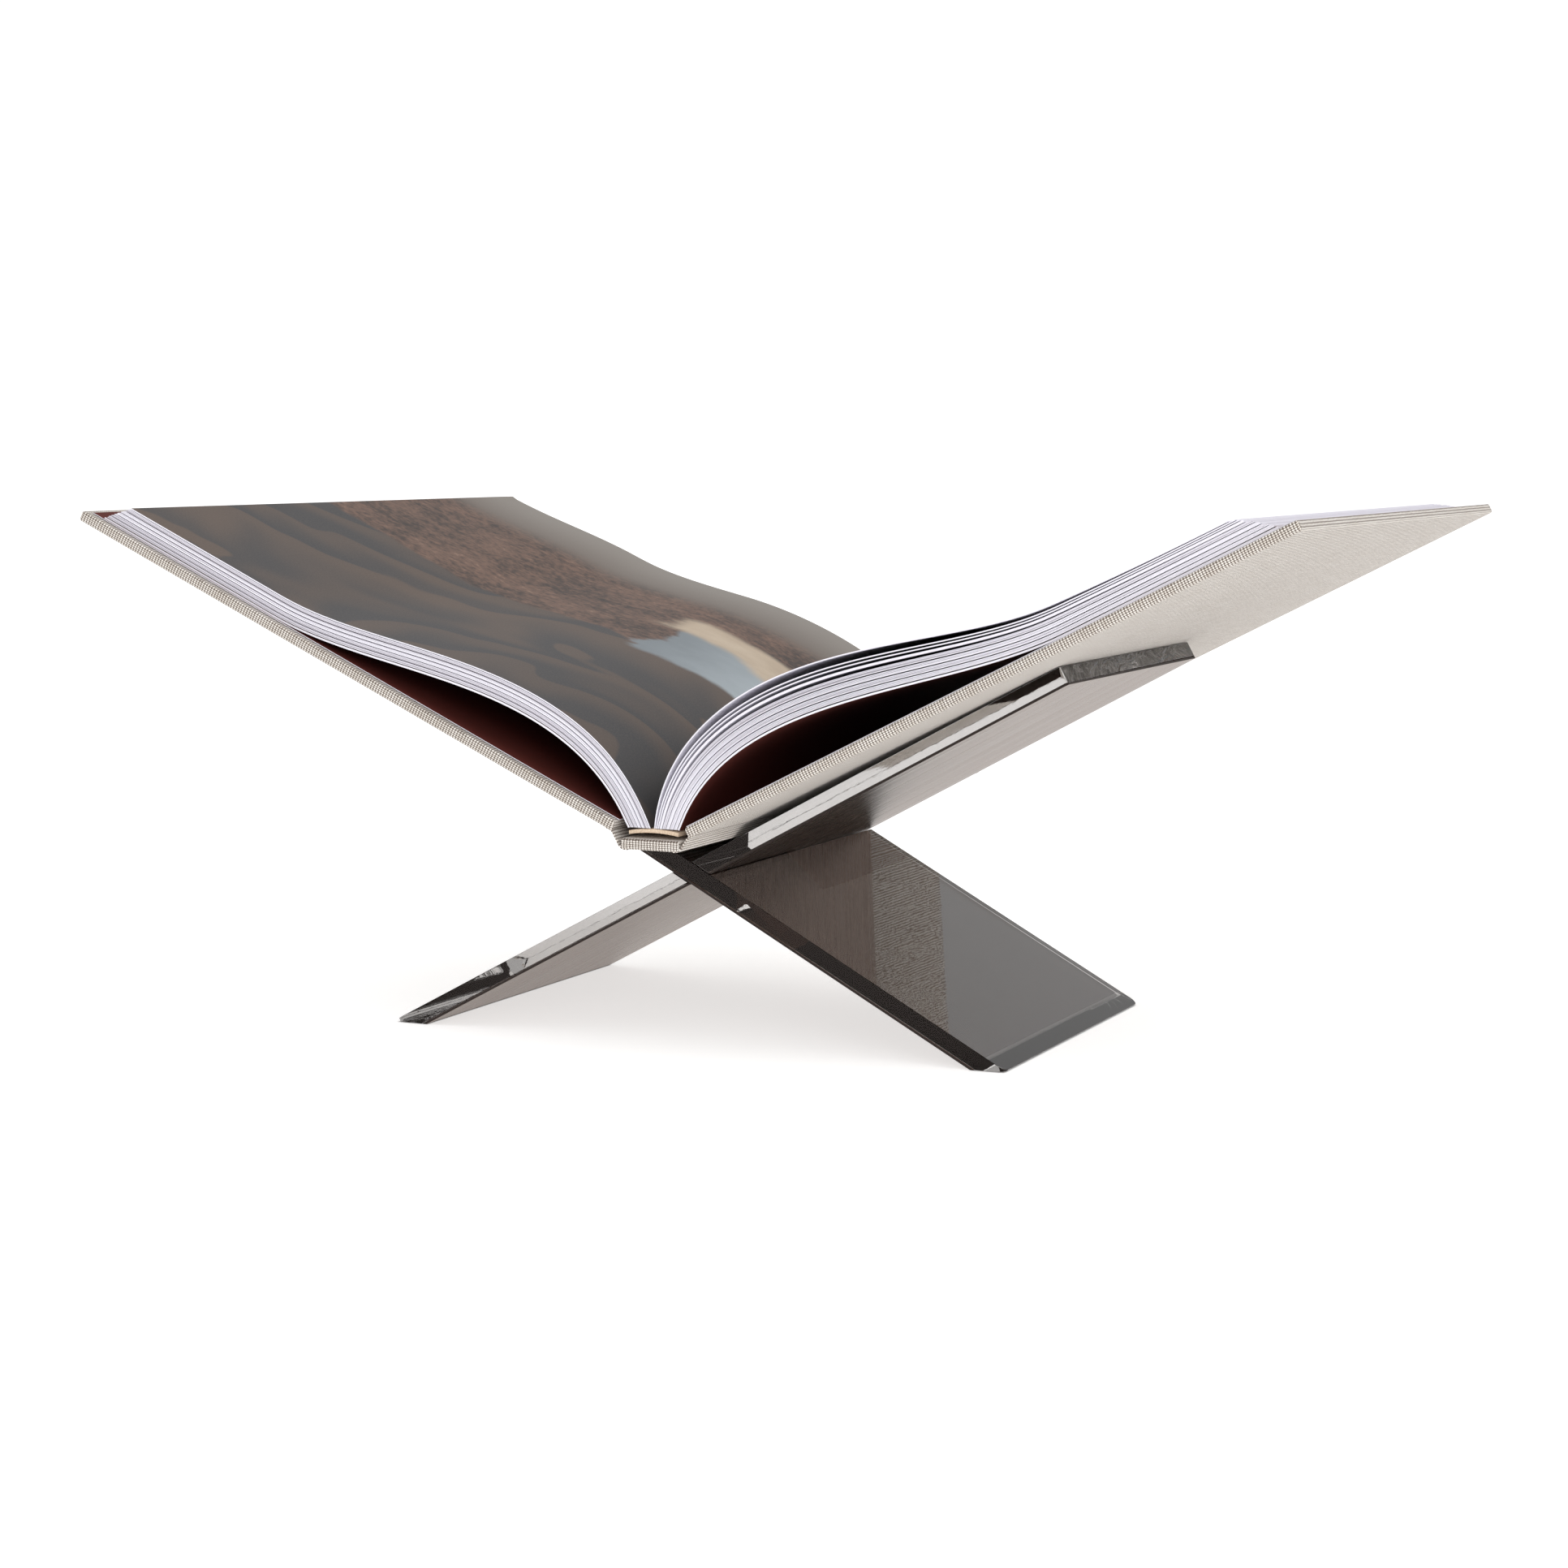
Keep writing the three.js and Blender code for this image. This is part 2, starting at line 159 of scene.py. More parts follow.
class Shader:
    """A material, or a world, under construction."""

    def __init__(self, name, collection=bpy.data.materials):
        self.owner = collection.new(name)
        self.owner.use_nodes = True
        self.tree = self.owner.node_tree
        self.tree.nodes.clear()

    def node(self, kind, settings=None, inputs=None, output=0):
        """Adds a node: its settings first, then the values or links of its sockets."""
        made = self.tree.nodes.new(kind)
        for name, value in (settings or {}).items():
            setattr(made, name, value)
        for name, value in (inputs or {}).items():
            if isinstance(value, Value):
                self.tree.links.new(value.socket, made.inputs[name])
            else:
                made.inputs[name].default_value = value
        return Value(self, made.outputs[output])

    def object_place(self):
        return self.node("ShaderNodeTexCoord", output="Object")

    def sheet_place(self):
        return self.node("ShaderNodeUVMap", {"uv_map": "UVMap"})

    def parts(self, vector):
        split = self.node("ShaderNodeSeparateXYZ", inputs={0: vector})
        outputs = split.socket.node.outputs
        return [Value(self, outputs[axis]) for axis in range(3)]

    def stretched(self, vector, scale):
        inputs = {0: vector, 1: scale}
        return self.node("ShaderNodeVectorMath", {"operation": "MULTIPLY"}, inputs)

    def grain(self, vector, scale, detail=2.0, roughness=0.5, distortion=0.0):
        inputs = {"Vector": vector, "Scale": scale, "Detail": detail,
                  "Roughness": roughness, "Distortion": distortion}
        return self.node("ShaderNodeTexNoise", inputs=inputs)

    def cells(self, vector, scale, randomness=1.0):
        inputs = {"Vector": vector, "Scale": scale, "Randomness": randomness}
        return self.node("ShaderNodeTexVoronoi", inputs=inputs)

    def mix(self, factor, low, high):
        """The colour low where factor is 0 and the colour high where it is 1."""
        inputs = {0: factor, 6: low, 7: high}
        return self.node("ShaderNodeMix", {"data_type": "RGBA"}, inputs, output=2)

    def bump(self, height, distance, strength=1.0):
        inputs = {"Height": height, "Distance": distance, "Strength": strength}
        return self.node("ShaderNodeBump", inputs=inputs)

    def finish(self, inputs):
        surface = self.node("ShaderNodeBsdfPrincipled", inputs=inputs)
        output = self.tree.nodes.new("ShaderNodeOutputMaterial")
        self.tree.links.new(surface.socket, output.inputs["Surface"])
        return self.owner


def tint(red, green, blue):
    """A screen colour, 0 to 255 in each part, as a shader colour."""
    return tuple(((part / 255 + 0.055) / 1.055) ** 2.4 for part in (red, green, blue)) + (1.0,)


# ---------------------------------------------------------------- finishes


def clear_acrylic(name, ripple):
    """Acrylic plate, a little smoky so that its edges look grey; ripple is the depth of its waves."""
    shader = Shader(name)
    place = shader.object_place()
    scuffs = shader.grain(shader.stretched(place, (14, 90, 14)), 9, 4, 0.6)
    haze = scuffs.rise(0.55, 0.8)
    waves = shader.grain(shader.stretched(place, (60, 22, 60)), 1.5, 3, 0.55, 1.5)
    return shader.finish({
        "Base Color": shader.mix(haze, tint(190, 187, 185), tint(182, 180, 178)),
        "Roughness": haze * 0.03,
        "IOR": 1.49,
        "Specular Tint": (0.52, 0.44, 0.41, 1),
        "Transmission Weight": 1.0,
        "Normal": shader.bump(scuffs * 0.02 + waves, ripple, 1.0),
    })


def brushed_bronze():
    shader = Shader("brushed_bronze")
    place = shader.sheet_place()
    hairlines = shader.grain(shader.stretched(place, (10, 2600, 1)), 1, 3, 0.7)
    bands = shader.grain(shader.stretched(place, (3, 260, 1)), 1, 3, 0.6)
    spread = (hairlines * 0.6 + bands * 0.4).rise(0.34, 0.66)
    return shader.finish({
        "Base Color": shader.mix(spread, tint(146, 134, 127), tint(166, 154, 147)),
        "Metallic": 1.0,
        "Specular Tint": (0.6, 0.57, 0.55, 1),
        "Roughness": 0.2 + spread * 0.12,
        "Normal": shader.bump(hairlines, 0.006 * MM, 0.4),
    })


def bronze_film():
    """The backing's upper face, which is seen through the acrylic."""
    shader = Shader("bronze_film")
    place = shader.sheet_place()
    hairlines = shader.grain(shader.stretched(place, (8, 1500, 1)), 1, 3, 0.7)
    bands = shader.grain(shader.stretched(place, (3, 160, 1)), 1, 3, 0.6)
    spread = (hairlines * 0.7 + bands * 0.3).rise(0.36, 0.64)
    return shader.finish({
        "Base Color": shader.mix(spread, tint(92, 66, 54), tint(108, 82, 70)),
        "Roughness": 0.1 + spread * 0.05,
        "Specular IOR Level": 0.0,
    })


def sawn_edge():
    """The dull dark edges of the backing, and the walls of the slots."""
    shader = Shader("sawn_edge")
    place = shader.object_place()
    saw_marks = shader.grain(shader.stretched(place, (900, 40, 900)), 1, 3, 0.6)
    return shader.finish({
        "Base Color": shader.mix(saw_marks, tint(30, 25, 23), tint(58, 48, 43)),
        "Roughness": 0.4 + saw_marks * 0.2,
        "Specular IOR Level": 0.2,
        "Normal": shader.bump(saw_marks, 0.02 * MM, 0.5),
    })


def album_linen():
    shader = Shader("album_linen")
    place = shader.sheet_place()
    wander = shader.grain(place, 260, 2, 0.5)
    across, along, _ = shader.parts(place)
    a = across / THREAD_PITCH[0] + (wander - 0.5) * 0.35
    b = along / THREAD_PITCH[1] + (wander - 0.5) * 0.35
    warp_wave = ((b - 0.5) * math.pi + a.floor() * math.pi).cosine() * 0.5 + 0.5
    weft_wave = 0.5 - ((a - 0.5) * math.pi + b.floor() * math.pi).cosine() * 0.5
    warp = (a.fraction() * math.pi).sine() * warp_wave
    weft = (b.fraction() * math.pi).sine() * weft_wave
    height = warp.larger(weft)
    slubs = shader.grain(shader.stretched(place, (40, 1400, 1)), 1, 2, 0.6)
    slubs = slubs * 0.5 + shader.grain(shader.stretched(place, (1000, 40, 1)), 1, 2, 0.6) * 0.5
    thread = shader.mix(slubs.rise(0.35, 0.65), tint(222, 214, 204), tint(246, 241, 234))
    return shader.finish({
        "Base Color": shader.mix(height.rise(0.3, 0.8), tint(104, 91, 82), thread),
        "Roughness": 0.95 - slubs * 0.15,
        "Sheen Weight": 0.15,
        "Sheen Roughness": 0.5,
        "Specular IOR Level": 0.25,
        "Normal": shader.bump(height + slubs * 0.3, 0.05 * MM, 0.7),
    })


def leaf_paper():
    shader = Shader("leaf_paper")
    place = shader.object_place()
    tone = shader.node("ShaderNodeAttribute", {"attribute_name": "leaf_tone"}, output="Fac")
    fibre = shader.grain(place, 900, 3, 0.6)
    return shader.finish({
        "Base Color": shader.mix(tone * 0.85 + fibre * 0.15, tint(172, 166, 176), tint(246, 244, 252)),
        "Roughness": 0.62 + fibre * 0.2,
        "Specular IOR Level": 0.35,
        "Normal": shader.bump(fibre, 0.02 * MM, 0.5),
    })


def maroon_endpaper():
    shader = Shader("maroon_endpaper")
    place = shader.object_place()
    fibre = shader.grain(place, 700, 4, 0.65)
    cloud = shader.grain(place, 28, 2, 0.5)
    return shader.finish({
        "Base Color": shader.mix(fibre * 0.6 + cloud * 0.4, tint(70, 24, 19), tint(112, 50, 41)),
        "Roughness": 0.72 + fibre * 0.16,
        "Specular IOR Level": 0.3,
        "Normal": shader.bump(fibre, 0.03 * MM, 0.6),
    })


def kraft_lining():
    shader = Shader("kraft_lining")
    place = shader.object_place()
    fibre = shader.grain(shader.stretched(place, (1, 0.15, 1)), 1500, 4, 0.7)
    return shader.finish({
        "Base Color": shader.mix(fibre.rise(0.3, 0.7), tint(208, 182, 154), tint(242, 222, 198)),
        "Roughness": 0.9 - fibre * 0.1,
        "Specular IOR Level": 0.2,
        "Normal": shader.bump(fibre, 0.06 * MM, 0.7),
    })


def dunes(shader, place):
    """Soft overlapping folds of dark sand, each with a crest line."""
    across, up, _ = shader.parts(place)
    drift = shader.grain(shader.stretched(place, (2.4, 3.4, 1)), 1, 2, 0.55, 0.6)
    swell = shader.grain(shader.stretched(place, (1.6, 2.2, 1)), 1, 1, 0.5)
    fold = (up * 5.5 + across * 2.2 + drift * 4.0).fraction()
    slope = fold.rise(0.0, 0.8) * fold.rise(1.0, 0.94)
    grit = shader.grain(place, 330, 2, 0.7)
    shade = slope * 0.7 + (swell - 0.5) * 1.1
    sand = shader.mix(shade, tint(56, 55, 57), tint(96, 79, 67))
    return shader.mix(grit.rise(0.35, 0.95) * 0.3, sand, tint(126, 116, 108))


def scree(shader, place):
    """A slope of brown stones in lighter and darker drifts."""
    patches = shader.grain(shader.stretched(place, (7, 10, 1)), 1, 3, 0.6)
    rubble = shader.grain(shader.stretched(place, (38, 60, 1)), 1, 6, 0.78)
    stones = shader.cells(shader.stretched(place, (110, 150, 1)), 1)
    height = rubble * 0.75 + stones * 0.2 + (patches - 0.5) * 0.5
    rock = shader.mix(height.rise(0.3, 0.62), tint(50, 38, 33), tint(116, 88, 73))
    return shader.mix(height.rise(0.6, 0.78), rock, tint(172, 144, 124))


def pool(shader, picture, ridge, shore, ripple):
    """Lays still water and a sandy bank beside the gutter over the picture."""
    wet = ridge.rise(0.44, 0.46) * ridge.rise(0.66, 0.6) * shore.rise(0.44, 0.42)
    water = shader.mix(shore.rise(0.1, 0.45), tint(182, 192, 198), tint(126, 134, 140))
    bank = ridge.rise(0.58, 0.61) * ridge.rise(0.7, 0.67) * shore.rise(0.5, 0.44)
    sand = shader.mix(ripple, tint(168, 146, 122), tint(220, 204, 182))
    return shader.mix(bank, shader.mix(wet, picture, water), sand)


def landscape_page():
    """The picture on the left page: dunes, a stony slope, a pool and haze, with painted shade towards the
    gutter.
    """
    shader = Shader("landscape_page")
    place = shader.sheet_place()
    across, up, _ = shader.parts(place)
    swell = shader.grain(shader.stretched(place, (3.0, 2.0, 1)), 1, 2, 0.5)
    ripple = shader.grain(shader.stretched(place, (9, 14, 1)), 1, 4, 0.6)
    ridge = up + (swell - 0.5) * 0.2 + (ripple - 0.5) * 0.03
    picture = shader.mix(ridge.rise(0.46, 0.475), dunes(shader, place), scree(shader, place))
    picture = pool(shader, picture, ridge, across * 1.1 + (ripple - 0.5) * 0.12, ripple)
    haze = shader.mix(up.rise(0.8, 1.0), tint(112, 101, 93), tint(142, 135, 128))
    picture = shader.mix(up.rise(0.78, 0.87), picture, haze)
    # Painted shade: the picture darkens to near black towards the gutter.
    picture = shader.mix(across.rise(0.16, 0.0) * 0.75, picture, tint(28, 27, 28))
    tooth = shader.grain(place, 500, 2, 0.6)
    return shader.finish({
        "Base Color": picture,
        "Roughness": 0.44 + tooth * 0.12,
        "Specular IOR Level": 0.35,
        "Normal": shader.bump(tooth, 0.01 * MM, 0.3),
    })


def grey_page():
    shader = Shader("grey_page")
    place = shader.sheet_place()
    across, up, _ = shader.parts(place)
    cloud = shader.grain(shader.stretched(place, (2.5, 4.0, 1)), 1, 4, 0.6, 0.6)
    dust = shader.grain(place, 300, 2, 0.7)
    picture = shader.mix(cloud.rise(0.35, 0.65), tint(92, 84, 80), tint(150, 143, 138))
    picture = shader.mix(dust * 0.3, picture, tint(120, 112, 108))
    margin = across.rise(0.93, 0.935).larger(up.rise(0.06, 0.055)).larger(up.rise(0.94, 0.945))
    return shader.finish({
        "Base Color": shader.mix(margin, picture, tint(238, 237, 244)),
        "Roughness": 0.4 + dust * 0.15,
        "Specular IOR Level": 0.4,
        "Normal": shader.bump(dust, 0.01 * MM, 0.3),
    })


def under_foot(x, y, letter):
    """1 on the strip of floor that a foot stands on at rest, and 0 elsewhere; it marks where a contact
    shadow is painted on the floor.
    """
    low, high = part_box(f"panel_{letter}_acrylic")
    toe = high.x if letter == "a" else low.x
    inward = -math.copysign(1, toe)
    heel = toe + inward * FOOT_DEPTH
    across = x.rise(toe, toe + inward * MM) * x.rise(heel, heel - inward * MM)
    return across * y.rise(low.y, low.y + MM) * y.rise(high.y, high.y - MM)


def studio_floor():
    shader = Shader("studio_floor")
    place = shader.object_place()
    mottle = shader.grain(place, 3, 2, 0.5)
    x, y, _ = shader.parts(place)
    painted_foot_shadow = under_foot(x, y, "a") + under_foot(x, y, "b")
    return shader.finish({
        "Base Color": shader.mix(mottle, tint(229, 229, 229), tint(232, 232, 232)),
        "Roughness": 0.8,
        "Specular IOR Level": 0.05,
        # Painted shadow: the floor's glow turns dark brown under the feet at rest, and the strip stays
        # there when a panel slides.
        "Emission Color": shader.mix(painted_foot_shadow, tint(255, 255, 255), tint(24, 18, 14)),
        "Emission Strength": 0.57,
    })


# ---------------------------------------------------------------- modelling helpers


def pick_only(piece):
    bpy.ops.object.select_all(action="DESELECT")
    piece.select_set(True)
    bpy.context.view_layer.objects.active = piece


def edit(piece):
    pick_only(piece)
    bpy.ops.object.mode_set(mode="EDIT")
    bpy.ops.mesh.select_all(action="DESELECT")


def done_editing():
    bpy.ops.object.mode_set(mode="OBJECT")


def apply_modifier(piece, kind, **settings):
    pick_only(piece)
    modifier = piece.modifiers.new(kind.title(), kind)
    for name, value in settings.items():
        setattr(modifier, name, value)
    bpy.ops.object.modifier_apply(modifier=modifier.name)


def copied_node(node, name):
    """A new piece from a CAD node, with its loose triangles merged into whole faces."""
    piece = bpy.data.objects.new(name, NODES[node].data.copy())
    bpy.context.scene.collection.objects.link(piece)
    piece.data.materials.clear()
    edit(piece)
    bpy.ops.mesh.select_all(action="SELECT")
    bpy.ops.mesh.remove_doubles(threshold=1e-6)
    bpy.ops.mesh.dissolve_limited(angle_limit=math.radians(0.5))
    done_editing()
    bpy.ops.mesh.customdata_custom_splitnormals_clear()
    return piece


def smooth(piece, degrees=30):
    pick_only(piece)
    bpy.ops.object.shade_smooth_by_angle(angle=math.radians(degrees))


def smooth_bevels(piece):
    """Shades the rounded edges softly and keeps the large faces flat."""
    smooth(piece, 50)
    apply_modifier(piece, "WEIGHTED_NORMAL", mode="FACE_AREA", weight=100, keep_sharp=True)


def add_finishes(piece, *finishes):
    """Gives the piece its finishes and returns their numbers on its faces."""
    for finish in finishes:
        piece.data.materials.append(finish)
    return range(len(finishes))


def new_slab(name, low, high):
    """A box from low to high, in its own frame."""
    bpy.ops.object.select_all(action="DESELECT")
    middle = [(a + b) / 2 for a, b in zip(low, high)]
    bpy.ops.mesh.primitive_cube_add(size=1, location=middle)
    piece = bpy.context.object
    piece.name = name
    piece.scale = [b - a for a, b in zip(low, high)]
    bpy.ops.object.transform_apply(location=True, rotation=True, scale=True)
    return piece


def round_edges(piece, radius, segments=4):
    edit(piece)
    bpy.ops.mesh.select_all(action="SELECT")
    bpy.ops.mesh.bevel(offset=radius, segments=segments, affect="EDGES")
    done_editing()


def wrap_cloth_uv(piece):
    """Lays the weave over a wrapped board in metres, and carries it round the edges."""
    layer = piece.data.uv_layers["UVMap"]
    for face in piece.data.polygons:
        at_end = abs(face.normal.x) > 0.7
        for loop in face.loop_indices:
            x, y, z = piece.data.vertices[piece.data.loops[loop].vertex_index].co
            side = math.copysign(1, y)
            layer.data[loop].uv = (x + z, y) if at_end else (x, y + side * z)


def set_down(piece, matrix):
    piece.matrix_world = matrix
    pick_only(piece)
    bpy.ops.object.transform_apply(location=True, rotation=True, scale=True)


# ---------------------------------------------------------------- the stand


def acrylic_panel(letter, clear, rippled, sawn):
    """A clear plate with polished faces, rippled ends and sawn slot walls."""
    piece = copied_node(f"panel_{letter}_acrylic", f"acrylic_panel_{letter}")
    up = PANEL_UP[letter]
    edit(piece)
    mesh = bmesh.from_edit_mesh(piece.data)
    for face in mesh.faces:
        face.select_set(face.normal.dot(up) < -0.99)
    bmesh.update_edit_mesh(piece.data)
    bpy.ops.transform.translate(value=-BOND_DEPTH * up)
    done_editing()
    for vertex in piece.data.vertices:
        vertex.co.z = max(vertex.co.z, 0)
    apply_modifier(piece, "BEVEL", width=ACRYLIC_BEVEL, segments=2, limit_method="ANGLE")
    smooth_bevels(piece)
    plate_finish, slot_finish, end_finish = add_finishes(piece, clear, sawn, rippled)
    low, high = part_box(f"panel_{letter}_acrylic")
    for face in piece.data.polygons:
        face.material_index = plate_finish
        at_edge = abs(face.normal.dot(up)) < 0.5
        if at_edge and abs(face.center.x) < SLOT_REACH and low.y + MM < face.center.y < high.y - MM:
            face.material_index = slot_finish
        elif at_edge and abs(face.normal.y) < 0.3:
            face.material_index = end_finish
    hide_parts(f"panel_{letter}_acrylic")
    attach(piece, f"panel_{letter}")


def backing_sheet(letter, metal, film, sawn):
    """The metal sheet under a plate, brushed along the slope."""
    piece = copied_node(f"panel_{letter}_backing", f"backing_sheet_{letter}")
    apply_modifier(piece, "BEVEL", width=BACKING_BEVEL, segments=2, limit_method="ANGLE")
    up = PANEL_UP[letter]
    along = Vector((0, 1, 0)).cross(up)
    layer = piece.data.uv_layers.new(name="UVMap")
    for loop in piece.data.loops:
        point = piece.data.vertices[loop.vertex_index].co
        layer.data[loop.index].uv = (point.dot(along), point.y + point.dot(up))
    under_finish, upper_finish, edge_finish = add_finishes(piece, metal, film, sawn)
    for face in piece.data.polygons:
        face.material_index = edge_finish
        if face.normal.dot(up) > 0.9:
            face.material_index = upper_finish
        elif face.normal.dot(up) < -0.9:
            face.material_index = under_finish
    smooth_bevels(piece)
    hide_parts(f"panel_{letter}_backing")
    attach(piece, f"panel_{letter}")


# ---------------------------------------------------------------- the case


def cover_corners(side):
    """The outer start, outer end and inner start corners of a cover, as (x, z)."""
    points = [Vector((v.co.x, v.co.z)) for v in NODES[f"{side}_cover_cloth"].data.vertices]
    outward = SIDES[side]
    outer_start = min(points, key=lambda p: p.y)
    outer_end = max(points, key=lambda p: p.x * outward)
    inner_start = min(points, key=lambda p: p.x * outward)
    return outer_start, outer_end, inner_start


def cover(side, linen):
    start, end, inner = cover_corners(side)
    low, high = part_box(f"{side}_cover_cloth")
    along = (end - start).normalized()
    inward = (inner - start).normalized()
    piece = new_slab(f"{side}_cover", (0, low.y, 0), ((end - start).length, high.y, (inner - start).length))
    round_edges(piece, COVER_ROUNDING)
    wrap_cloth_uv(piece)
    x_axis = Vector((along.x, 0, along.y))
    z_axis = Vector((inward.x, 0, inward.y))
    y_axis = z_axis.cross(x_axis)
    turn = Matrix((x_axis, y_axis, z_axis)).transposed().to_4x4()
    set_down(piece, Matrix.Translation((start.x, 0, start.y)) @ turn)
    smooth_bevels(piece)
    piece.data.materials.append(linen)
    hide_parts(f"{side}_cover_cloth", f"{side}_cover_board")
    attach(piece, f"{side}_half")


def spine_piece(linen):
    low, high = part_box("spine_strip")
    cloth_low, cloth_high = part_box("spine_cloth")
    margin = SPINE_CLOTH_MARGIN
    piece = new_slab(
        "cloth_spine",
        (low.x - margin, cloth_low.y, low.z - margin),
        (high.x + margin, cloth_high.y, high.z + margin))
    round_edges(piece, COVER_ROUNDING)
    wrap_cloth_uv(piece)
    smooth_bevels(piece)
    piece.data.materials.append(linen)
    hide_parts("spine_cloth", "spine_strip")
    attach(piece, "album_spine")


def joint_cloth(side, linen):
    """The flexible cloth between the spine and a cover, with a shallow groove."""
    outward = SIDES[side]
    low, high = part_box("spine_strip")
    cloth_low, cloth_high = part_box("spine_cloth")
    start, end, inner = cover_corners(side)
    along = (end - start).normalized()
    inward = (inner - start).normalized()
    edge = low.x if outward < 0 else high.x
    under_spine = Vector((edge - outward * 2 * MM, low.z - 0.3 * MM))
    corner = Vector((edge + outward * 0.4 * MM, low.z + 0.2 * MM))
    groove = (corner + start) / 2 + inward * JOINT_GROOVE
    rim = start + inward * 0.6 * MM
    under_cover = rim + along * 3 * MM
    line = even_line([under_spine, corner, groove, rim, under_cover], JOINT_STEPS)
    tail, head = cloth_low.y + JOINT_SHORT, cloth_high.y - JOINT_SHORT
    name = f"{side}_joint_cloth"
    piece = sheet_along(name, line, tail, head, JOINT_CLOTH, outward, [linen] * 3, cloth=True)
    smooth(piece)
    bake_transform(piece)


def lining(finish):
    piece = copied_node("spine_lining", "spine_lining_card")
    apply_modifier(piece, "BEVEL", width=0.15 * MM, segments=2, limit_method="ANGLE",
                   angle_limit=math.radians(40))
    smooth(piece)
    piece.data.materials.append(finish)
    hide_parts("spine_lining")
    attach(piece, "album_spine")


# ---------------------------------------------------------------- leaves


def even_line(points, steps):
    """A smooth line through the points, cut into steps of one length."""
    fine = []
    ends = [points[0] * 2 - points[1]] + list(points) + [points[-1] * 2 - points[-2]]
    for a, b, c, d in zip(ends, ends[1:], ends[2:], ends[3:]):
        for part in range(8):
            t = part / 8
            bend = (c - a) * t + (2 * a - 5 * b + 4 * c - d) * t * t + (3 * b - a - 3 * c + d) * t ** 3
            fine.append(b + bend / 2)
    fine.append(points[-1])
    lengths = [0]
    for before, after in zip(fine, fine[1:]):
        lengths.append(lengths[-1] + (after - before).length)
    even = []
    spot = 0
    for step in range(steps + 1):
        wanted = lengths[-1] * step / steps
        while spot < len(fine) - 2 and lengths[spot + 1] < wanted:
            spot += 1
        share = (wanted - lengths[spot]) / max(lengths[spot + 1] - lengths[spot], 1e-12)
        even.append(fine[spot].lerp(fine[spot + 1], min(share, 1)))
    return even


def leaf_rails(node, side):
    """The lower and upper line of a leaf's tail edge, each from the root outwards."""
    mesh = bmesh.new()
    mesh.from_mesh(NODES[node].data)
    bmesh.ops.remove_doubles(mesh, verts=mesh.verts, dist=1e-6)
    mesh.normal_update()
    tail = min(v.co.y for v in mesh.verts)
    beside = {}
    for edge in mesh.edges:
        at_tail = all(abs(v.co.y - tail) < 1e-6 for v in edge.verts)
        if at_tail and sum(abs(face.normal.y) > 0.9 for face in edge.link_faces) == 1:
            first, second = edge.verts
            beside.setdefault(first, []).append(second)
            beside.setdefault(second, []).append(first)
    roots = sorted(beside, key=lambda v: v.co.z)[:2]
    roots.sort(key=lambda v: -v.co.x * SIDES[side])
    rails = []
    for root, other in (roots, roots[::-1]):
        line, previous = [root], other
        while len(line) < len(beside) // 2:
            ahead = [v for v in beside[line[-1]] if v is not previous][0]
            previous = line[-1]
            line.append(ahead)
        rails.append([Vector((v.co.x, v.co.z)) for v in line])
    mesh.free()
    return rails


def sheet_along(name, line, tail, head, thickness, outward, finishes, rows=2, cloth=False):
    """A sheet whose upper face follows line, with its thickness below.
    The finishes are those of its upper face, its under face and its edges."""
    bpy.ops.object.select_all(action="DESELECT")
    steps = len(line) - 1
    bpy.ops.mesh.primitive_grid_add(x_subdivisions=steps, y_subdivisions=rows, size=2)
    piece = bpy.context.object
    piece.name = name
    add_finishes(piece, *finishes)
    for vertex in piece.data.vertices:
        point = line[round((vertex.co.x + 1) / 2 * steps)]
        share = (vertex.co.y + 1) / 2
        vertex.co = (point.x, tail + (head - tail) * share, point.y)
    if cloth:
        length = sum((b - a).length for a, b in zip(line, line[1:]))
        for loop in piece.data.uv_layers[0].data:
            loop.uv = (loop.uv.x * length, tail + (head - tail) * loop.uv.y)
    if outward < 0:
        edit(piece)
        bpy.ops.mesh.select_all(action="SELECT")
        bpy.ops.mesh.flip_normals()
        done_editing()
    apply_modifier(piece, "SOLIDIFY", thickness=thickness, offset=-1,
                   material_offset=1, material_offset_rim=2)
    return piece


def set_tone(piece, tone):
    attribute = piece.data.attributes.new("leaf_tone", "FLOAT", "POINT")
    attribute.data.foreach_set("value", [tone] * len(piece.data.vertices))


def one_leaf(name, side, rails, place, share, node, finishes, trim=0.0, shift=0.0, rows=2):
    """A leaf that fills share of the space between the rails, at place from 0 to 1."""
    lower, upper = rails
    low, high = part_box(node)
    wave = chance.uniform(0, 50)
    line = []
    for step, (under, over) in enumerate(zip(lower, upper)):
        drift = noise.noise(Vector((step * 0.06, wave, place))) * 0.12 * step / LEAF_STEPS
        line.append(under.lerp(over, min(max(place + drift * (1 - min(share, 1)), 0), 1)))
    line[-1] = line[-1].lerp(line[-2], trim)
    thickness = (upper[4] - lower[4]).length * share
    tail, head = low.y + shift, high.y + shift
    return sheet_along(name, line, tail, head, thickness, SIDES[side], finishes, rows)


def leaf_tone():
    """How light a leaf's edge is; one in ten is much darker."""
    tone = chance.choice([0.95, 0.9, 0.85, 0.8, 0.75, 0.6])
    return tone if chance.random() > 0.1 else 0.15


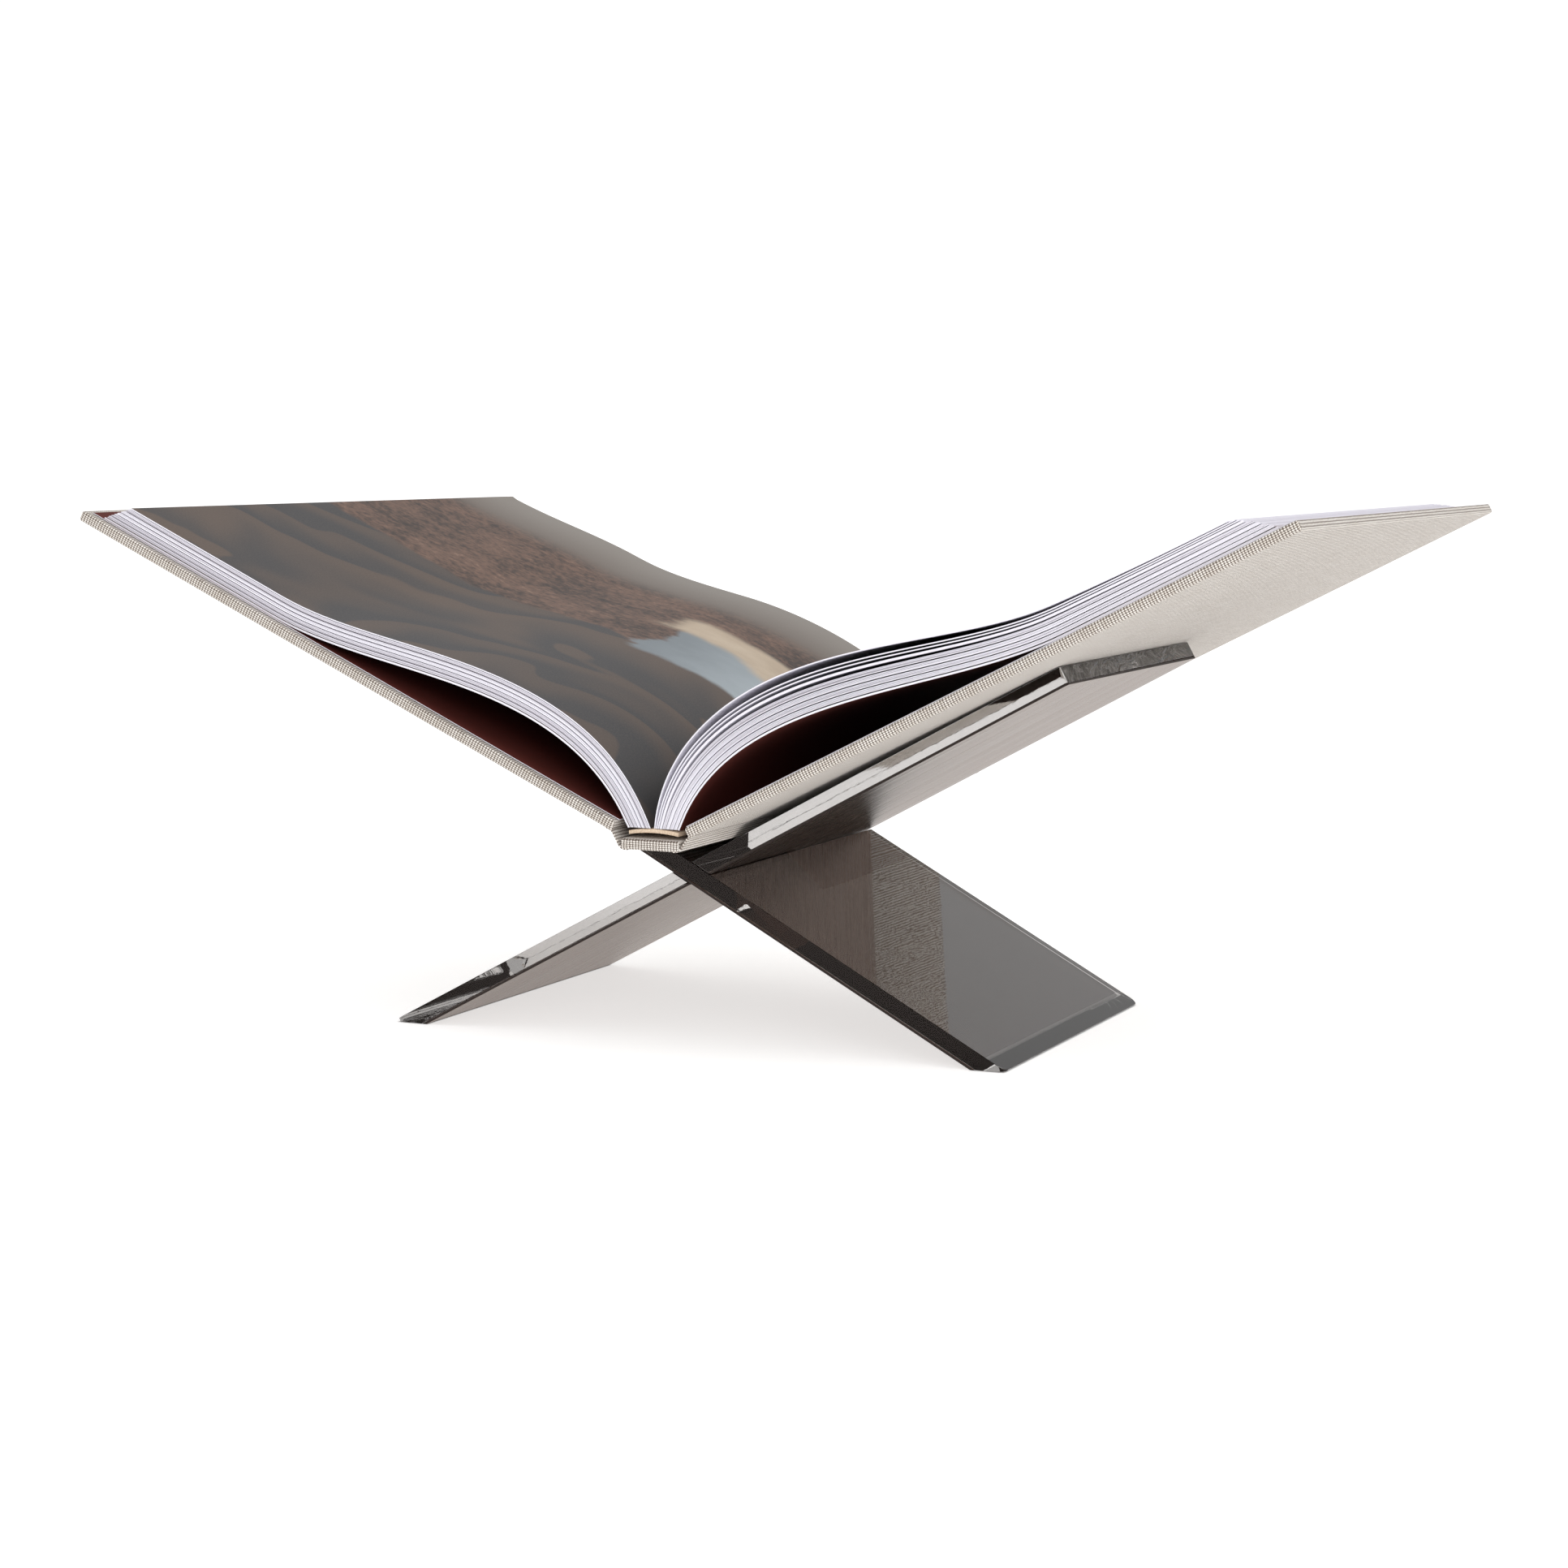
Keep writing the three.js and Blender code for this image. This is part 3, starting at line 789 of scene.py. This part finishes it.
def section(side, node, paper):
    """A bundle of separate leaves."""
    rails = [even_line(rail, LEAF_STEPS) for rail in leaf_rails(node, side)]
    leaves = []
    share = LEAF_SHARE / LEAVES_IN_SECTION
    for index in range(LEAVES_IN_SECTION):
        top = (index + 1) / LEAVES_IN_SECTION
        trim = chance.uniform(0, 0.12)
        shift = chance.uniform(-0.1, 0.1) * MM
        leaf = one_leaf(f"{node}_leaf_{index}", side, rails, top, share, node, [paper] * 3, trim, shift)
        set_tone(leaf, leaf_tone())
        leaves.append(leaf)
    bpy.ops.object.select_all(action="DESELECT")
    for leaf in leaves:
        leaf.select_set(True)
    bpy.context.view_layer.objects.active = leaves[0]
    bpy.ops.object.join()
    piece = leaves[0]
    piece.name = f"{node}_leaves"
    smooth(piece)
    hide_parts(node)
    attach(piece, f"{side}_half")


def single_leaf(side, node, name, finishes, tone=0.9, share=1.0):
    rails = [even_line(rail, LEAF_STEPS) for rail in leaf_rails(node, side)]
    piece = one_leaf(name, side, rails, 1.0, share, node, finishes)
    set_tone(piece, tone)
    smooth(piece)
    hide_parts(node)
    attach(piece, f"{side}_half")


def top_leaf(side, page, paper):
    """The uppermost leaf, which bends near its root along its guard."""
    guard = leaf_rails(f"{side}_top_leaf_guard", side)
    outer = leaf_rails(f"{side}_top_leaf", side)
    rails = [even_line(near + far, LEAF_STEPS) for near, far in zip(guard, outer)]
    node = f"{side}_top_leaf"
    piece = one_leaf(f"{side}_page", side, rails, 1.0, 1.0, node, [page, paper, paper], rows=PAGE_ROWS)
    set_tone(piece, 0.95)
    if side == "left":
        relax_page(piece)
    smooth(piece)
    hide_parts(node, f"{side}_top_leaf_guard")
    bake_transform(piece)


def relax_page(piece):
    """Lifts the page gently towards its head and rounds its outer corner."""
    low, high = piece_box(piece)
    for vertex in piece.data.vertices:
        out = (high.x - vertex.co.x) / (high.x - low.x)
        up = (vertex.co.y - low.y) / (high.y - low.y)
        vertex.co.z += PAGE_LIFT * ease(up, 0.35, 1.0) * ease(out, 0.1, 0.45) * ease(out, 1.0, 0.7)
        past_x = low.x + PAGE_CORNER - vertex.co.x
        past_y = vertex.co.y - high.y + PAGE_CORNER
        reach = math.hypot(past_x, past_y)
        if past_x > 0 and past_y > 0 and reach > PAGE_CORNER:
            vertex.co.x = low.x + PAGE_CORNER - past_x * PAGE_CORNER / reach
            vertex.co.y = high.y - PAGE_CORNER + past_y * PAGE_CORNER / reach


def piece_box(piece):
    points = [v.co for v in piece.data.vertices]
    low = Vector([min(p[axis] for p in points) for axis in range(3)])
    high = Vector([max(p[axis] for p in points) for axis in range(3)])
    return low, high


def ease(value, start, end):
    share = min(max((value - start) / (end - start), 0), 1)
    return share * share * (3 - 2 * share)


# ---------------------------------------------------------------- studio


def camera():
    bpy.ops.object.camera_add()
    view = bpy.context.object
    view.name = "studio_camera"
    turn = Matrix.Rotation(VIEW_AZIMUTH, 4, "Z")
    tilt = Matrix.Rotation(math.pi / 2 - VIEW_ELEVATION, 4, "X")
    roll = Matrix.Rotation(VIEW_ROLL, 4, "Z")
    view.matrix_world = Matrix.Translation(VIEW_PLACE) @ turn @ tilt @ roll
    view.data.sensor_width = 36
    view.data.lens = VIEW_LENS
    view.data.clip_end = 100
    bpy.context.scene.camera = view


def floor():
    bpy.ops.object.select_all(action="DESELECT")
    bpy.ops.mesh.primitive_plane_add(size=40, location=(0, 0, -FLOOR_DROP))
    ground = bpy.context.object
    ground.name = "studio_ground"
    ground.data.materials.append(studio_floor())


def soft_box(name, place, aim, size, power):
    bpy.ops.object.light_add(type="AREA", location=place)
    lamp = bpy.context.object
    lamp.name = name
    lamp.data.shape = "RECTANGLE"
    lamp.data.size, lamp.data.size_y = size
    lamp.data.energy = power
    lamp.rotation_euler = (Vector(aim) - Vector(place)).to_track_quat("-Z", "Y").to_euler()


def studio_room():
    """White behind the object, and softer grey where it is only reflected."""
    room = Shader("studio_room", bpy.data.worlds)
    direction = room.node("ShaderNodeTexCoord", output="Generated")
    right, _, up = room.parts(direction)
    glow = ROOM_GLOW + up.rise(0.3, 1.0) * 0.2 + right.rise(0.2, 0.9) * 0.25
    seen = room.node("ShaderNodeLightPath", output="Is Camera Ray")
    strength = glow + (BACKDROP_WHITE - glow) * seen
    light = room.node("ShaderNodeBackground", inputs={"Color": (1, 1, 1, 1), "Strength": strength})
    output = room.tree.nodes.new("ShaderNodeOutputWorld")
    room.tree.links.new(light.socket, output.inputs["Surface"])
    bpy.context.scene.world = room.owner


def studio_light():
    studio_room()
    soft_box("overhead_box", (0.3, -0.6, 2.6), (0, 0, 0), (2.0, 2.0), 9.5)
    soft_box("front_box", (1.3, -2.2, 0.9), (0, 0, 0.12), (1.2, 0.9), 11)


# ---------------------------------------------------------------- building


def build_stand():
    clear = clear_acrylic("clear_acrylic", PLATE_WAVE)
    rippled = clear_acrylic("rippled_acrylic", END_WAVE)
    metal = brushed_bronze()
    film = bronze_film()
    sawn = sawn_edge()
    for letter in PANEL_UP:
        acrylic_panel(letter, clear, rippled, sawn)
        backing_sheet(letter, metal, film, sawn)


def build_album():
    linen = album_linen()
    paper = leaf_paper()
    maroon = maroon_endpaper()
    pages = {"left": landscape_page(), "right": grey_page()}
    spine_piece(linen)
    lining(kraft_lining())
    for side in SIDES:
        cover(side, linen)
        joint_cloth(side, linen)
        endpaper = [maroon, maroon, paper]
        single_leaf(side, f"{side}_pastedown", f"{side}_pasted_endpaper", endpaper)
        node = f"{side}_flyleaf"
        single_leaf(side, node, f"{node}_sheet", endpaper, 0.95, FLYLEAF_SHARE)
        for number in range(SECTIONS[side]):
            section(side, f"{side}_section_{number + 1}", paper)
        for number in range(LOOSE_LEAVES[side]):
            node = f"{side}_loose_leaf_{number + 1}"
            single_leaf(side, node, f"{node}_sheet", [paper] * 3)
        top_leaf(side, pages[side], paper)


bpy.context.scene.view_settings.view_transform = "Standard"
camera()
floor()
studio_light()
build_stand()
build_album()
